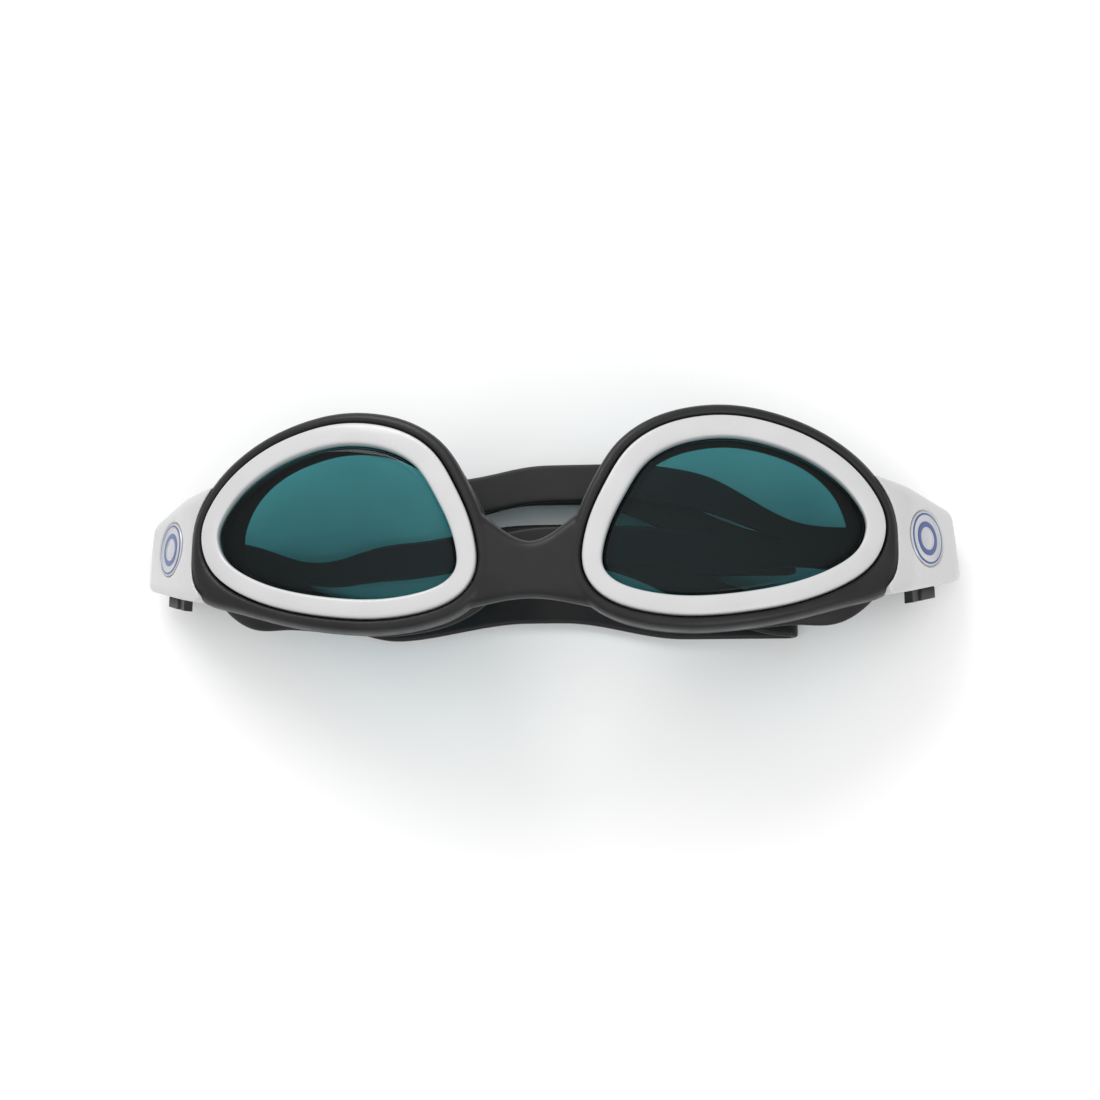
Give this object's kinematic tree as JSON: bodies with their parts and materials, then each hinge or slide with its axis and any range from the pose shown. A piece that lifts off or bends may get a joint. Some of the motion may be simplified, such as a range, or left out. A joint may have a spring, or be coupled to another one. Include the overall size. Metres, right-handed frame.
{
  "type": "swim goggles",
  "caption": "Swim goggles with tinted curved lenses in white rims, a soft black frame, press-release side buckles and a split rubber head strap folded beneath.",
  "frame": {"origin": "on the surface that the folded strap lies on, below the middle of the nose bridge", "axes": "+X along the goggles to the right-hand lens as seen from the front, +Y to the brow, +Z out of the lenses"},
  "size_m": [0.1766, 0.0472, 0.0409],
  "materials": {
    "soft_black": "satin",
    "black_silicone": "satin",
    "white_plastic": "gloss",
    "teal_lens": "clear, tinted",
    "badge_blue": "gloss",
    "dark_plastic": "fine texture",
    "spring_steel": "drawn wire"
  },
  "bodies": {
    "goggles": {"frame": "soft_black", "rim_left": "white_plastic", "rim_right": "white_plastic", "lens_left": "teal_lens", "lens_right": "teal_lens", "seal_left": "black_silicone", "seal_right": "black_silicone", "arm_shell_left": "white_plastic", "arm_shell_right": "white_plastic", "arm_cover_left": "white_plastic", "arm_cover_right": "white_plastic", "badge_left": "badge_blue", "badge_right": "badge_blue", "strap_bar_left": "dark_plastic", "strap_bar_right": "dark_plastic", "button_spring_left": "spring_steel", "button_spring_right": "spring_steel", "strap": "black_silicone"},
    "left_button": {"button_left": "dark_plastic"},
    "left_pawl": {"pawl_left": "dark_plastic"},
    "right_button": {"button_right": "dark_plastic"},
    "right_pawl": {"pawl_right": "dark_plastic"}
  },
  "joints": [
    {"name": "left_button_press", "type": "slide", "parent": "goggles", "child": "left_button", "axis": [0, 1, 0], "range_m": [0, 0.0016], "stiffness_N_per_m": 250, "springref_m": -0.0025, "deforming": ["button_spring_left"]},
    {"name": "left_pawl_lift", "type": "slide", "parent": "goggles", "child": "left_pawl", "axis": [-0.7986, 0, 0.6018], "range_m": [0, 0.0005], "stiffness_N_per_m": 250, "springref_m": -0.0008},
    {"name": "right_button_press", "type": "slide", "parent": "goggles", "child": "right_button", "axis": [0, 1, 0], "range_m": [0, 0.0016], "stiffness_N_per_m": 250, "springref_m": -0.0025, "deforming": ["button_spring_right"]},
    {"name": "right_pawl_lift", "type": "slide", "parent": "goggles", "child": "right_pawl", "axis": [0.7986, 0, 0.6018], "range_m": [0, 0.0005], "stiffness_N_per_m": 250, "springref_m": -0.0008}
  ],
  "couplings": [
    {"joint": "left_pawl_lift", "follows": "left_button_press", "ratio": 0.3125},
    {"joint": "right_pawl_lift", "follows": "right_button_press", "ratio": 0.3125}
  ]
}
